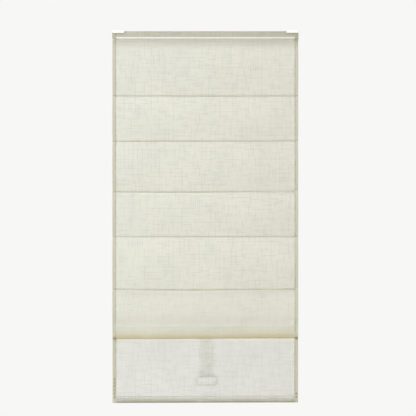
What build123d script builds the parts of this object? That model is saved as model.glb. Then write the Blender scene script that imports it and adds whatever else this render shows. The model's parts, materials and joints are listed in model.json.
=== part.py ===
from build123d import *
import os

# Cordless flat roman blind, hung from two clip brackets.
# X runs along the headrail, -Y faces the room and +Z is up. The origin lies midway
# between the brackets, on the faces that are screwed to the window's head.

os.makedirs("parts", exist_ok=True)

# Whole blind
blind_width = 813.0
cloth_drop = 1309.0
skirt_drop = 284.0
seam_shares = [0.191, 0.342, 0.511, 0.662, 0.838]
lift_line_inset = 131.0

# Fits and cuts
overrun = 4.0
loose_clearance = 0.3
running_clearance = 0.06

# Brackets
bracket_plate = 1.6
bracket_width = 52.0
bracket_end_gap = 0.6
bracket_hook = 8.4
bracket_bend = 1.5
bracket_corner = 3.0
bracket_tab_width = 16.0
bracket_tab_drop = 8.0
bracket_hole_radius = 2.5
bracket_hole_pitch = 20.0

# Headrail
rail_height = 33.0
rail_depth = 44.0
rail_wall = 1.4
rail_edge_round = 0.5
turned_edge = 4.0
lip_height = 7.0
lip_round = 0.9
latch_bead = 1.5
latch_drop = 9.0
fascia_thickness = 0.8
fascia_inset = 0.6
cap_plate = 2.5
cap_flange_width = 16.0
cap_flange_thickness = 1.2
cap_plug_length = 12.0
cap_plug_wall = 1.5

# Cloth
cloth_thickness = 0.6
hem_turn_thickness = 1.0
side_hem_width = 16.0
cloth_setback = 12.0
panel_bow = 6.0
crease_radius = 2.5
fold_radius = 4.0
fold_ledge = 1.0
skirt_hem_height = 28.0

# Clamp that holds the cloth's top edge
clamp_thickness = 2.0
clamp_screw_radius = 1.5
clamp_screw_head_radius = 2.8
clamp_screw_head_height = 1.5
clamp_screw_count = 5

# Ribs
rod_radius = 2.0
rod_end_gap = 10.0
tip_wall = 0.6
tip_length = 12.0
tip_end = 1.5
ring_eye_radius = 2.8
ring_wall = 2.2
ring_height = 2.2

# Bottom bar, hem weight and pull
bar_height = 22.0
bar_thickness = 3.2
bar_edge_round = 1.2
bar_end_gap = 10.0
bar_cap_wall = 0.8
bar_cap_length = 14.0
hem_bar_height = 18.0
hem_bar_thickness = 2.4
hem_bar_round = 0.8
strap_width = 63.0
strap_length = 165.0
strap_thickness = 0.8
strap_seam_height = 16.0
pull_offset = 6.0
handle_width = 99.0
handle_height = 46.0
handle_bar = 9.0
handle_thickness = 8.0
handle_corner = 12.0
handle_chamfer = 2.4

# Lift gear
eyelet_bore_radius = 1.4
eyelet_wall = 1.0
eyelet_flange = 1.1
shaft_flat_radius = 3.0
spool_length = 34.0
spool_headroom = 1.8
spool_rim = 1.6
spool_flange = 1.2
journal_radius = 4.2
cradle_base = 1.5
cradle_wall = 2.0
cradle_boss = 2.6
cradle_foot = 24.0
shaft_overhang = 8.0
motor_length = 28.0
motor_wall = 1.2
drum_headroom = 0.6
drum_rim = 2.2
store_core_radius = 2.2
store_journal_radius = 1.6
ribbon_thickness = 0.4
wrap_thickness = 0.7

# Heights
rail_top = -bracket_plate
rail_bottom = rail_top - rail_height
floor_under = rail_bottom + lip_height
floor_top = floor_under + rail_wall
cavity_height = rail_top - rail_wall - floor_top
cavity_depth = rail_depth - 2 * rail_wall
shaft_z = floor_top + cavity_height / 2
seam_heights = [rail_bottom - share * cloth_drop for share in seam_shares]
fold_z = rail_bottom - cloth_drop
skirt_bottom = fold_z - skirt_drop

# Depths, from the front of the cloth to the lift lines
cloth_front = cloth_setback - rail_depth / 2
skirt_front = cloth_front + fold_radius + fold_ledge
pocket_wall = cloth_thickness + loose_clearance + bar_cap_wall
pocket_depth = bar_thickness + 2 * pocket_wall
pocket_height = bar_height + 2 * pocket_wall
pocket_back = skirt_front + pocket_depth
tip_radius = rod_radius + tip_wall
tuck_radius = tip_radius + loose_clearance
rod_y = pocket_back - tuck_radius - cloth_thickness
ring_reach = ring_eye_radius + ring_wall
lift_y = pocket_back + loose_clearance + ring_reach
lift_x = blind_width / 2 - lift_line_inset
lift_places = [-lift_x, lift_x]

# Sizes that follow the headrail's cavity
spool_flange_radius = cavity_height / 2 - spool_headroom
spool_radius = spool_flange_radius - spool_rim
shaft_y = lift_y - spool_radius
shaft_axis = Axis((0, shaft_y, shaft_z), (1, 0, 0))
eyelet_radius = eyelet_bore_radius + eyelet_wall
eyelet_flange_radius = eyelet_radius + eyelet_flange
channel_length = blind_width - 2 * cap_plate


def keep(piece, label):
    """Name a finished piece and write it."""
    piece.part.label = label
    export_step(piece.part, f"parts/{label}.step")


# Brackets: a bent strip that hooks over the cap's flange and latches under the rail's back bead,
# with a tab to press it free
bracket_x = blind_width / 2 - bracket_end_gap - bracket_width / 2
strip_middle = bracket_plate / 2
cap_front = -rail_depth / 2 - fascia_thickness
bracket_front = cap_front - cap_flange_thickness - bracket_bend
bracket_back = rail_depth / 2 + latch_bead + loose_clearance + strip_middle
bracket_toe = rail_top - latch_drop - latch_bead / 2 - loose_clearance - strip_middle


def make_bracket(middle):
    with BuildPart() as bracket:
        with BuildSketch(Plane.YZ.offset(middle)):
            with BuildLine() as strip:
                FilletPolyline(
                    (bracket_front, rail_top - bracket_hook),
                    (bracket_front, -strip_middle),
                    (bracket_back, -strip_middle),
                    (bracket_back, bracket_toe),
                    (rail_depth / 2 + loose_clearance, bracket_toe),
                    radius=[bracket_bend, bracket_bend, strip_middle + loose_clearance],
                )
            trace(strip.line, line_width=bracket_plate)
        extrude(amount=bracket_width / 2, both=True)
        hook_corners = bracket.edges().filter_by(Axis.Y).group_by(Axis.Y)[0]
        fillet(hook_corners, radius=bracket_corner)
        with BuildSketch(Plane.XZ.offset(-bracket_back - strip_middle)) as tab:
            with Locations((middle, bracket_toe)):
                Rectangle(bracket_tab_width, 2 * bracket_tab_drop)
            fillet(tab.vertices().group_by(Axis.Y)[0], radius=bracket_corner)
        extrude(amount=bracket_plate)
        with Locations((middle, 0, 0)):
            with GridLocations(0, bracket_hole_pitch, 1, 2):
                Hole(bracket_hole_radius, depth=bracket_plate)
    return bracket


keep(make_bracket(-bracket_x), "mounting_bracket_left")
keep(make_bracket(bracket_x), "mounting_bracket_right")

# Headrail: open-topped channel with turned-in edges, a latch bead and a front lip
clamp_front = cloth_front + cloth_thickness + crease_radius
clamp_back = lift_y - eyelet_flange_radius - eyelet_wall
clamp_y = (clamp_front + clamp_back) / 2
clamp_length = blind_width - 2 * side_hem_width - 2 * eyelet_wall
screw_pitch = clamp_length / clamp_screw_count
screw_places = [(index - (clamp_screw_count - 1) / 2) * screw_pitch for index in range(clamp_screw_count)]
lip_thickness = rail_wall + fascia_thickness
lip_y = -rail_depth / 2 + rail_wall - lip_thickness / 2

with BuildPart() as headrail_channel:
    with BuildSketch(Plane.YZ) as rail_section:
        with Locations((0, (rail_top + floor_under) / 2)):
            Rectangle(rail_depth, rail_top - floor_under)
        with Locations((0, shaft_z)):
            Rectangle(cavity_depth, cavity_height, mode=Mode.SUBTRACT)
        with Locations((0, rail_top)):
            Rectangle(cavity_depth - 2 * turned_edge, 2 * rail_wall + overrun, mode=Mode.SUBTRACT)
        fillet(rail_section.vertices().group_by(Axis.Y)[-1], radius=rail_edge_round)
        with Locations((rail_depth / 2 + latch_bead / 2, rail_top - latch_drop)):
            Rectangle(latch_bead, latch_bead)
        with Locations((lip_y, rail_bottom + lip_height / 2)):
            Rectangle(lip_thickness, lip_height)
        fillet(rail_section.vertices().group_by(Axis.Y)[0], radius=lip_round)
    extrude(amount=channel_length / 2, both=True)
    with Locations(*[(place, lift_y, floor_top) for place in lift_places]):
        Hole(eyelet_radius + running_clearance, depth=rail_wall)
    with Locations(*[(place, clamp_y, floor_top) for place in screw_places]):
        Hole(clamp_screw_radius + running_clearance, depth=rail_wall)
keep(headrail_channel, "headrail_channel")

# Fascia: cloth strip on the rail's face, above the lip
with BuildPart() as fascia_cloth:
    with BuildSketch(Plane.YZ):
        with Locations((-rail_depth / 2, floor_under)):
            Rectangle(
                fascia_thickness,
                rail_top - fascia_inset - floor_under,
                align=(Align.MAX, Align.MIN),
            )
    extrude(amount=channel_length / 2, both=True)
keep(fascia_cloth, "fascia_cloth")

# End caps: plate, hollow plug and a front flange over the ends of the fascia and the lip
with BuildPart() as end_cap_right:
    with BuildSketch(Plane.YZ.offset(channel_length / 2)):
        with Locations((0, (rail_top + floor_under) / 2)):
            Rectangle(rail_depth, rail_top - floor_under)
        with Locations((-rail_depth / 2 + rail_wall, rail_top)):
            Rectangle(
                rail_wall + fascia_thickness + cap_flange_thickness,
                rail_height,
                align=(Align.MAX, Align.MAX),
            )
    extrude(amount=cap_plate)
    with BuildSketch(Plane.YZ.offset(channel_length / 2)):
        with Locations((cap_front, rail_top)):
            Rectangle(cap_flange_thickness, rail_height, align=(Align.MAX, Align.MAX))
    extrude(amount=-(cap_flange_width - cap_plate))
    with BuildSketch(Plane.YZ.offset(channel_length / 2)):
        with Locations((0, shaft_z)):
            Rectangle(cavity_depth - 2 * loose_clearance, cavity_height - 2 * loose_clearance)
            Rectangle(
                cavity_depth - 2 * loose_clearance - 2 * cap_plug_wall,
                cavity_height - 2 * loose_clearance - 2 * cap_plug_wall,
                mode=Mode.SUBTRACT,
            )
    extrude(amount=-cap_plug_length)
    outer_edges = end_cap_right.edges().group_by(Axis.X)[-1]
    fillet(outer_edges, radius=cap_flange_thickness / 2)
keep(end_cap_right, "end_cap_right")

with BuildPart() as end_cap_left:
    mirror(end_cap_right.part, about=Plane.YZ)
keep(end_cap_left, "end_cap_left")

# Clamp strip and its screws
with BuildPart() as clamp_strip:
    with BuildSketch(Plane.XY.offset(floor_under - cloth_thickness)):
        with Locations((0, clamp_y)):
            Rectangle(clamp_length, clamp_back - clamp_front)
        with Locations(*[(place, clamp_y) for place in screw_places]):
            Circle(clamp_screw_radius + running_clearance, mode=Mode.SUBTRACT)
    extrude(amount=-clamp_thickness)
keep(clamp_strip, "clamp_strip")

clamp_under = floor_under - cloth_thickness - clamp_thickness
with BuildPart() as clamp_screws:
    with BuildSketch(Plane.XY.offset(clamp_under)):
        with Locations(*[(place, clamp_y) for place in screw_places]):
            Circle(clamp_screw_head_radius)
    extrude(amount=-clamp_screw_head_height)
    with BuildSketch(Plane.XY.offset(clamp_under)):
        with Locations(*[(place, clamp_y) for place in screw_places]):
            Circle(clamp_screw_radius)
    extrude(amount=floor_top - clamp_under)
keep(clamp_screws, "clamp_screws")


# Face cloth: six bowed panels whose creases run back into the tucks that hold the rods
def panel_face(top, bottom, front, top_back, bottom_back, top_round, bottom_round):
    """Side view of one panel, filled from its bowed front to its back edges."""
    middle = (top + bottom) / 2
    with BuildSketch() as face:
        with BuildLine():
            Polyline((front, top), (top_back, top), (bottom_back, bottom), (front, bottom))
            ThreePointArc((front, bottom), (front - panel_bow, middle), (front, top))
        make_face()
        creases = face.vertices().group_by(Axis.X)[0].sort_by(Axis.Y)
        fillet(creases[0], radius=bottom_round)
        crests = face.vertices().filter_by(lambda v: v.Y == top).sort_by(Axis.X)
        fillet(crests[0], radius=top_round)
    return face.sketch


def cloth_section(thickness):
    """Side view of the whole face cloth at one thickness, tucks included."""
    tops = [floor_under] + seam_heights
    bottoms = seam_heights + [fold_z]
    top_backs = [clamp_back] + [rod_y] * len(seam_heights)
    bottom_backs = [rod_y] * len(seam_heights) + [skirt_front - loose_clearance]
    rounds = [crease_radius] * len(seam_heights) + [fold_radius]
    with BuildSketch() as section:
        for top, bottom, top_back, bottom_back, bottom_round in zip(
            tops, bottoms, top_backs, bottom_backs, rounds
        ):
            add(
                panel_face(
                    top, bottom, cloth_front, top_back, bottom_back, crease_radius, bottom_round
                )
            )
            hollow_back = max(top_back, bottom_back) + overrun
            add(
                panel_face(
                    top - thickness,
                    bottom + thickness,
                    cloth_front + thickness,
                    hollow_back,
                    hollow_back,
                    crease_radius - cloth_thickness,
                    bottom_round - cloth_thickness,
                ),
                mode=Mode.SUBTRACT,
            )
        with Locations(*[(rod_y, height) for height in seam_heights]):
            Circle(tuck_radius + thickness)
            Circle(tuck_radius, mode=Mode.SUBTRACT)
    return section.sketch


hem_thickness = cloth_thickness + hem_turn_thickness
with BuildPart() as face_cloth:
    with BuildSketch(Plane.YZ):
        add(cloth_section(cloth_thickness))
    extrude(amount=blind_width / 2, both=True)
    with BuildSketch(Plane.YZ.offset(-blind_width / 2), Plane.YZ.offset(blind_width / 2 - side_hem_width)):
        add(cloth_section(hem_thickness))
    extrude(amount=side_hem_width)
    with Locations(*[(place, clamp_y, floor_under) for place in screw_places]):
        Hole(clamp_screw_radius + running_clearance, depth=cloth_thickness)
keep(face_cloth, "face_cloth")

# Ribs: a rod in each tuck, a tip on each end and two sewn rings behind it
def make_rings(height):
    """The two guide rings at one height, one on each lift line."""
    with BuildPart() as rings:
        with BuildSketch(Plane.XY.offset(height)):
            with Locations(*[(place, lift_y) for place in lift_places]):
                Circle(ring_reach)
                Circle(ring_eye_radius, mode=Mode.SUBTRACT)
        extrude(amount=ring_height / 2, both=True)
    return rings


rod_half = blind_width / 2 - rod_end_gap
for number, height in enumerate(seam_heights, start=1):
    with BuildPart() as rib_rod:
        with BuildSketch(Plane.YZ):
            with Locations((rod_y, height)):
                Circle(rod_radius)
        extrude(amount=rod_half, both=True)
    keep(rib_rod, f"rib_rod_{number}")

    with BuildPart() as rib_tips:
        with BuildSketch(Plane.YZ.offset(rod_half + tip_end)):
            with Locations((rod_y, height)):
                Circle(tip_radius)
        extrude(amount=-tip_length)
        with BuildSketch(Plane.YZ.offset(rod_half)):
            with Locations((rod_y, height)):
                Circle(rod_radius)
        extrude(amount=-tip_length, mode=Mode.SUBTRACT)
        mirror(about=Plane.YZ)
    keep(rib_tips, f"rib_tips_{number}")

    keep(make_rings(height), f"rib_rings_{number}")

# Skirt: one sheet whose top is sewn into the bar pocket and whose bottom is turned into the hem
pocket_y = skirt_front + pocket_depth / 2
pocket_z = fold_z + pocket_height / 2
hem_depth = hem_bar_thickness + 2 * loose_clearance + 2 * cloth_thickness
hem_z = skirt_bottom + skirt_hem_height / 2


def skirt_section(thickness):
    """Side view of the skirt at one thickness, with its pocket and hem."""
    with BuildSketch() as section:
        with Locations((skirt_front, skirt_bottom + cloth_thickness)):
            Rectangle(thickness, fold_z - skirt_bottom, align=(Align.MIN, Align.MIN))
        with Locations((pocket_y, pocket_z)):
            RectangleRounded(pocket_depth, pocket_height, pocket_wall)
            RectangleRounded(
                pocket_depth - 2 * cloth_thickness,
                pocket_height - 2 * cloth_thickness,
                pocket_wall - cloth_thickness,
                mode=Mode.SUBTRACT,
            )
        with Locations((skirt_front + hem_depth / 2, hem_z)):
            RectangleRounded(hem_depth, skirt_hem_height, hem_bar_round + cloth_thickness)
            RectangleRounded(
                hem_depth - 2 * cloth_thickness,
                skirt_hem_height - 2 * cloth_thickness,
                hem_bar_round,
                mode=Mode.SUBTRACT,
            )
    return section.sketch


with BuildPart() as skirt:
    with BuildSketch(Plane.YZ):
        add(skirt_section(cloth_thickness))
    extrude(amount=blind_width / 2, both=True)
    with BuildSketch(Plane.YZ.offset(-blind_width / 2), Plane.YZ.offset(blind_width / 2 - side_hem_width)):
        add(skirt_section(hem_thickness))
    extrude(amount=side_hem_width)
keep(skirt, "skirt")

# Bottom bar with its caps and rings
bar_half = blind_width / 2 - bar_end_gap
with BuildPart() as bottom_bar:
    with BuildSketch(Plane.YZ):
        with Locations((pocket_y, pocket_z)):
            RectangleRounded(bar_thickness, bar_height, bar_edge_round)
    extrude(amount=bar_half, both=True)
keep(bottom_bar, "bottom_bar")

with BuildPart() as bar_cap_right:
    with BuildSketch(Plane.YZ.offset(bar_half + bar_cap_wall)):
        with Locations((pocket_y, pocket_z)):
            RectangleRounded(
                bar_thickness + 2 * bar_cap_wall,
                bar_height + 2 * bar_cap_wall,
                bar_edge_round,
            )
    extrude(amount=-bar_cap_length)
    with BuildSketch(Plane.YZ.offset(bar_half)):
        with Locations((pocket_y, pocket_z)):
            RectangleRounded(bar_thickness, bar_height, bar_edge_round)
    extrude(amount=-bar_cap_length, mode=Mode.SUBTRACT)
keep(bar_cap_right, "bar_cap_right")

with BuildPart() as bar_cap_left:
    mirror(bar_cap_right.part, about=Plane.YZ)
keep(bar_cap_left, "bar_cap_left")

keep(make_rings(pocket_z), "bar_rings")

# Weight in the bottom hem
with BuildPart() as hem_bar:
    with BuildSketch(Plane.YZ):
        with Locations((skirt_front + hem_depth / 2, skirt_bottom + cloth_thickness + loose_clearance)):
            RectangleRounded(
                hem_bar_thickness,
                hem_bar_height,
                hem_bar_round,
                align=(Align.CENTER, Align.MIN),
            )
    extrude(amount=bar_half, both=True)
keep(hem_bar, "hem_bar")

# Pull: a doubled strap sewn behind the pocket, with a finger loop in its lower end
strap_y = pocket_back + strap_thickness
loop_radius = handle_bar / 2 + loose_clearance
handle_z = fold_z - strap_length - handle_bar / 2
with BuildPart() as pull_strap:
    with BuildSketch(Plane.YZ.offset(pull_offset)):
        with Locations((strap_y, handle_z)):
            Rectangle(
                2 * strap_thickness,
                fold_z + strap_seam_height - handle_z,
                align=(Align.CENTER, Align.MIN),
            )
            Circle(loop_radius + strap_thickness)
            Circle(loop_radius, mode=Mode.SUBTRACT)
    extrude(amount=strap_width / 2, both=True)
keep(pull_strap, "pull_strap")

handle_middle = handle_z + handle_bar / 2 - handle_height / 2
with BuildPart() as pull_handle:
    with BuildSketch(Plane.XZ.offset(-strap_y)):
        with Locations((pull_offset, handle_middle)):
            RectangleRounded(handle_width, handle_height, handle_corner)
            RectangleRounded(
                handle_width - 2 * handle_bar,
                handle_height - 2 * handle_bar,
                handle_corner - handle_bar / 2,
                mode=Mode.SUBTRACT,
            )
    extrude(amount=handle_thickness / 2, both=True)
    chamfer(pull_handle.faces().filter_by(Axis.Y).edges(), length=handle_chamfer)
keep(pull_handle, "pull_handle")

# Lift gear: spools in cradles on a hexagonal shaft, above the line exits
journal_reach = cradle_wall + loose_clearance
cradle_half = spool_length / 2 + journal_reach
axle_plane = Plane.XZ.offset(-shaft_y)


def make_eyelet(middle):
    with BuildPart() as eyelet:
        with BuildSketch(Plane.XY.offset(floor_under)):
            with Locations((middle, lift_y)):
                Circle(eyelet_flange_radius)
        extrude(amount=-eyelet_wall)
        with BuildSketch(Plane.XY.offset(floor_under)):
            with Locations((middle, lift_y)):
                Circle(eyelet_radius)
        extrude(amount=rail_wall + cradle_base)
        with Locations((middle, lift_y, floor_top + cradle_base)):
            Hole(eyelet_bore_radius)
    return eyelet


def make_cradle(middle):
    with BuildPart() as cradle:
        with BuildSketch(Plane.XY.offset(floor_top)):
            with Locations((middle, 0)):
                Rectangle(2 * cradle_half, cavity_depth - 2 * loose_clearance)
            with Locations((middle, lift_y)):
                Circle(eyelet_radius + running_clearance, mode=Mode.SUBTRACT)
        extrude(amount=cradle_base)
        left_wall = Plane.YZ.offset(middle - cradle_half)
        right_wall = Plane.YZ.offset(middle + cradle_half - cradle_wall)
        with BuildSketch(left_wall, right_wall) as wall:
            with Locations((shaft_y, shaft_z)):
                Circle(journal_radius + cradle_boss)
            with Locations((shaft_y, floor_top + cradle_base / 2)):
                Rectangle(cradle_foot, cradle_base)
            make_hull(wall.edges())
            with Locations((shaft_y, shaft_z)):
                Circle(journal_radius + running_clearance, mode=Mode.SUBTRACT)
        extrude(amount=cradle_wall)
    return cradle


def hex_bore(start, end):
    """Cut the shaft's hexagon through the piece being made, from start to end along the rail."""
    with BuildSketch(Plane.YZ.offset(start)) as bore:
        with Locations((shaft_y, shaft_z)):
            RegularPolygon(shaft_flat_radius + running_clearance, side_count=6, major_radius=False)
    extrude(bore.sketch, amount=end - start, mode=Mode.SUBTRACT)


def turned_half(middle, steps, axis_height):
    """Half section of a turned piece: steps are (distance from the middle, radius) pairs."""
    left = [(middle - reach, axis_height + radius) for reach, radius in steps]
    right = [(middle + reach, axis_height + radius) for reach, radius in reversed(steps)]
    ends = [(middle + steps[0][0], axis_height), (middle - steps[0][0], axis_height)]
    Polyline(*left, *right, *ends, close=True)


spool_steps = [
    (cradle_half, journal_radius),
    (spool_length / 2, journal_radius),
    (spool_length / 2, spool_flange_radius),
    (spool_length / 2 - spool_flange, spool_flange_radius),
    (spool_length / 2 - spool_flange, spool_radius),
]


def make_spool(middle):
    with BuildPart() as spool:
        with BuildSketch(axle_plane):
            with BuildLine():
                turned_half(middle, spool_steps, shaft_z)
            make_face()
        revolve(axis=shaft_axis)
        hex_bore(middle - cradle_half, middle + cradle_half)
    return spool


for side, place in zip(["left", "right"], lift_places):
    keep(make_eyelet(place), f"cord_eyelet_{side}")
    keep(make_cradle(place), f"spool_cradle_{side}")
    keep(make_spool(place), f"lift_spool_{side}")

with BuildPart() as drive_shaft:
    with BuildSketch(Plane.YZ):
        with Locations((shaft_y, shaft_z)):
            RegularPolygon(shaft_flat_radius, side_count=6, major_radius=False)
    extrude(amount=lift_x + cradle_half + shaft_overhang, both=True)
keep(drive_shaft, "drive_shaft")

# Spring motor: a cup and its cover hold two drums, with the ribbon between them
motor_half = motor_length / 2
case_depth = cavity_depth - 2 * loose_clearance
case_height = cavity_height - loose_clearance
case_z = floor_top + case_height / 2
drum_flange_radius = case_height / 2 - motor_wall - drum_headroom
drum_core_radius = drum_flange_radius - drum_rim
store_space = case_depth / 2 - motor_wall - drum_headroom - (shaft_y + drum_flange_radius + drum_headroom)
store_radius = store_space / 2
store_y = case_depth / 2 - motor_wall - drum_headroom - store_radius
store_axis = Axis((0, store_y, case_z), (1, 0, 0))
drum_half = motor_half - motor_wall - loose_clearance

with BuildPart() as motor_case:
    with BuildSketch(Plane.YZ.offset(-motor_half)):
        with Locations((0, case_z)):
            Rectangle(case_depth, case_height)
    extrude(amount=motor_length - motor_wall)
    with BuildSketch(Plane.YZ.offset(-motor_half + motor_wall)):
        with Locations((0, case_z)):
            Rectangle(case_depth - 2 * motor_wall, case_height - 2 * motor_wall)
    extrude(amount=motor_length, mode=Mode.SUBTRACT)
    with BuildSketch(Plane.YZ.offset(-motor_half)):
        with Locations((shaft_y, shaft_z)):
            Circle(journal_radius + running_clearance)
        with Locations((store_y, case_z)):
            Circle(store_journal_radius + running_clearance)
    extrude(amount=motor_wall, mode=Mode.SUBTRACT)
keep(motor_case, "motor_case")

with BuildPart() as motor_cover:
    with BuildSketch(Plane.YZ.offset(motor_half - motor_wall)):
        with Locations((0, case_z)):
            Rectangle(case_depth, case_height)
        with Locations((shaft_y, shaft_z)):
            Circle(journal_radius + running_clearance, mode=Mode.SUBTRACT)
        with Locations((store_y, case_z)):
            Circle(store_journal_radius + running_clearance, mode=Mode.SUBTRACT)
    extrude(amount=motor_wall)
keep(motor_cover, "motor_cover")

output_steps = [
    (motor_half, journal_radius),
    (drum_half, journal_radius),
    (drum_half, drum_flange_radius),
    (drum_half - spool_flange, drum_flange_radius),
    (drum_half - spool_flange, drum_core_radius),
]
with BuildPart() as spring_output_drum:
    with BuildSketch(axle_plane):
        with BuildLine():
            turned_half(0, output_steps, shaft_z)
        make_face()
    revolve(axis=shaft_axis)
    hex_bore(-motor_half, motor_half)
keep(spring_output_drum, "spring_output_drum")

store_steps = [
    (motor_half, store_journal_radius),
    (drum_half, store_journal_radius),
    (drum_half, store_radius),
    (drum_half - spool_flange, store_radius),
    (drum_half - spool_flange, store_core_radius),
]
with BuildPart() as spring_storage_drum:
    with BuildSketch(Plane.XZ.offset(-store_y)):
        with BuildLine():
            turned_half(0, store_steps, case_z)
        make_face()
    revolve(axis=store_axis)
keep(spring_storage_drum, "spring_storage_drum")

# Ribbon spring: a coil on the storage drum, a few turns on the output drum and the run between
wrap_radius = drum_core_radius + loose_clearance + wrap_thickness
coil_radius = store_radius - loose_clearance
drum_places = [(shaft_y, shaft_z), (store_y, case_z)]


def belt(radii):
    """Outline pulled tight round both drums."""
    with BuildSketch() as outline:
        for place, radius in zip(drum_places, radii):
            with Locations(place):
                Circle(radius)
        make_hull(outline.edges())
    return outline.sketch


with BuildPart() as power_spring:
    with BuildSketch(Plane.YZ):
        add(belt([wrap_radius, coil_radius]))
        add(
            belt([wrap_radius - ribbon_thickness, coil_radius - ribbon_thickness]),
            mode=Mode.SUBTRACT,
        )
        with Locations((0, case_z)):
            Rectangle(rail_depth, rail_height, align=(Align.CENTER, Align.MIN), mode=Mode.SUBTRACT)
        with Locations(drum_places[0]):
            Circle(wrap_radius)
            Circle(wrap_radius - wrap_thickness, mode=Mode.SUBTRACT)
        with Locations(drum_places[1]):
            Circle(coil_radius)
            Circle(store_core_radius + loose_clearance, mode=Mode.SUBTRACT)
    extrude(amount=drum_half - spool_flange - loose_clearance, both=True)
keep(power_spring, "power_spring")
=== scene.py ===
"""Dresses the roman blind: sheer slub cloth, sewn hems and tucks, painted rail and clear pull."""

import json
import math
from typing import NamedTuple

import bpy
import numpy as np
from bpy.props import FloatProperty, FloatVectorProperty, IntProperty, PointerProperty
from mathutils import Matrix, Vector


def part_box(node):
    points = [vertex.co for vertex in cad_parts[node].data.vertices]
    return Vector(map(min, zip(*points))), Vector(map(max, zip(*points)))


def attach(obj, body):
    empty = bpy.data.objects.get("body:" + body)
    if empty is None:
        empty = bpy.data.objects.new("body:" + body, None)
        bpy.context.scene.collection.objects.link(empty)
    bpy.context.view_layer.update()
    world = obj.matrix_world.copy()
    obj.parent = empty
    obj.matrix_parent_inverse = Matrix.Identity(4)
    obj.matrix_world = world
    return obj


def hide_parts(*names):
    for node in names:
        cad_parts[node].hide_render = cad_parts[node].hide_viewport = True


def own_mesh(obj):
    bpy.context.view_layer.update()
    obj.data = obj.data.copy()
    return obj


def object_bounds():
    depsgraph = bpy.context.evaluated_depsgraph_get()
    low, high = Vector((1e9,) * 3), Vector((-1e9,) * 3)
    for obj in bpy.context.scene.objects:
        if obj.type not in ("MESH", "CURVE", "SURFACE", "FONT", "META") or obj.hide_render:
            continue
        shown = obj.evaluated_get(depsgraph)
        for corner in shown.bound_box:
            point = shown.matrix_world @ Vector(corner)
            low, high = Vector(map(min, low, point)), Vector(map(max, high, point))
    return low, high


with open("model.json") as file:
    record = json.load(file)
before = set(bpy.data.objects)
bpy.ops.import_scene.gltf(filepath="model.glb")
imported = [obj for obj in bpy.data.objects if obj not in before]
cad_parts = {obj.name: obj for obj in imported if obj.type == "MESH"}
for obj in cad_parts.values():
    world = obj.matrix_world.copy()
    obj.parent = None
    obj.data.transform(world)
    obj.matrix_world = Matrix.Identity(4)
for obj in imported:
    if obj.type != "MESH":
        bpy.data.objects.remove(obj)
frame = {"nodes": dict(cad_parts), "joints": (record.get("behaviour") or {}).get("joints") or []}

bl_info = {
    "name": "Sheer roman blind",
    "version": (1, 0, 0),
    "blender": (4, 5, 0),
    "location": "View3D > Sidebar > Blind",
    "description": "Dresses a packed roman blind with cloth, stitching, finishes and a studio",
    "category": "Object",
}

# Places taken from the frame, in metres
cad_low, cad_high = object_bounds()
cloth_low, cloth_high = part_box("face_cloth")
skirt_low, skirt_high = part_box("skirt")
fascia_low, fascia_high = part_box("fascia_cloth")
strap_low, strap_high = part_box("pull_strap")
hem_bar_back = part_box("hem_bar")[1].y
rods = [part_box(f"rib_rod_{number}") for number in range(1, 6)]
rod_low, rod_high = rods[0]
rod_depth = (rod_low.y + rod_high.y) / 2
rod_radius = (rod_high.z - rod_low.z) / 2
seam_heights = [(low.z + high.z) / 2 for low, high in rods]
half_width = (cloth_high.x - cloth_low.x) / 2
cloth_top = cloth_high.z
fold_height = cloth_low.z
skirt_bottom = skirt_low.z
skirt_drop = fold_height - skirt_bottom
lift_reach = cloth_top - fold_height
lift_joint = next(joint for joint in frame["joints"] if joint["name"] == "lift")
raised_share = 1 - lift_joint["range_m"][1] / lift_reach

SIDES = {"left": -1, "right": 1}
FLAT_MAP = "flat_cloth"

# From a turned side hem to the cloth's edge, and how many layers thick the hem is
HEM_STEP = 0.0004
HEM_LAYERS = 1.6
# From the skirt's box to the middle of its cloth
SKIRT_SKIN = 0.0003
# How far the skirt's ends hang out of level, at the bar and at the hem
SKIRT_TILTS = (0.0022, 0.0013)


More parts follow.
